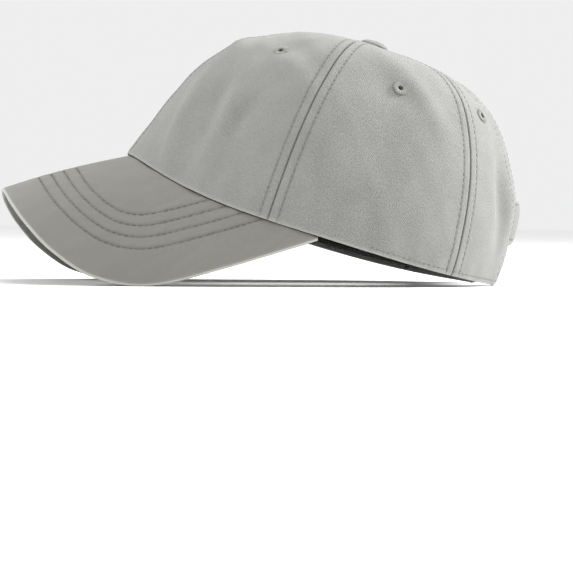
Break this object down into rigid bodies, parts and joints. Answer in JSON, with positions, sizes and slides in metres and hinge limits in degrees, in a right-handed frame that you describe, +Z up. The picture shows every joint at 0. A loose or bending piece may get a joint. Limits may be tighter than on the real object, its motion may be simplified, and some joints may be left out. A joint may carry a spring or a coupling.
{
  "type": "ponytail baseball cap",
  "caption": "Soft unstructured baseball cap in grey cotton twill with a curved stitched peak, a tall slot down the back for a ponytail and a strap across it.",
  "frame": {"origin": "middle of the cap's bounding box in plan, on the surface the cap rests on", "axes": "+Z up, the peak points along -Y, the wearer's left is +X"},
  "size_m": [0.1582, 0.2646, 0.1279],
  "materials": {
    "crown_twill": "brushed cotton twill, matt light grey",
    "peak_twill": "cotton twill stretched over the peak, matt grey",
    "sweatband_cloth": "plain woven cotton band, matt dark grey",
    "label_cloth": "blank black woven label",
    "eyelet_thread": "grey embroidery thread"
  },
  "bodies": {
    "root": {"panel_front_left": "crown_twill", "panel_front_right": "crown_twill", "panel_side_left": "crown_twill", "panel_side_right": "crown_twill", "panel_back_left": "crown_twill", "panel_back_right": "crown_twill", "closing_strap": "crown_twill", "top_button": "crown_twill", "peak_top_cover": "peak_twill", "peak_under_cover": "peak_twill", "sweatband": "sweatband_cloth", "inner_label": "label_cloth", "eyelet_front_left": "eyelet_thread", "eyelet_side_left": "eyelet_thread", "eyelet_back_left": "eyelet_thread", "eyelet_front_right": "eyelet_thread", "eyelet_side_right": "eyelet_thread", "eyelet_back_right": "eyelet_thread"}
  },
  "joints": []
}
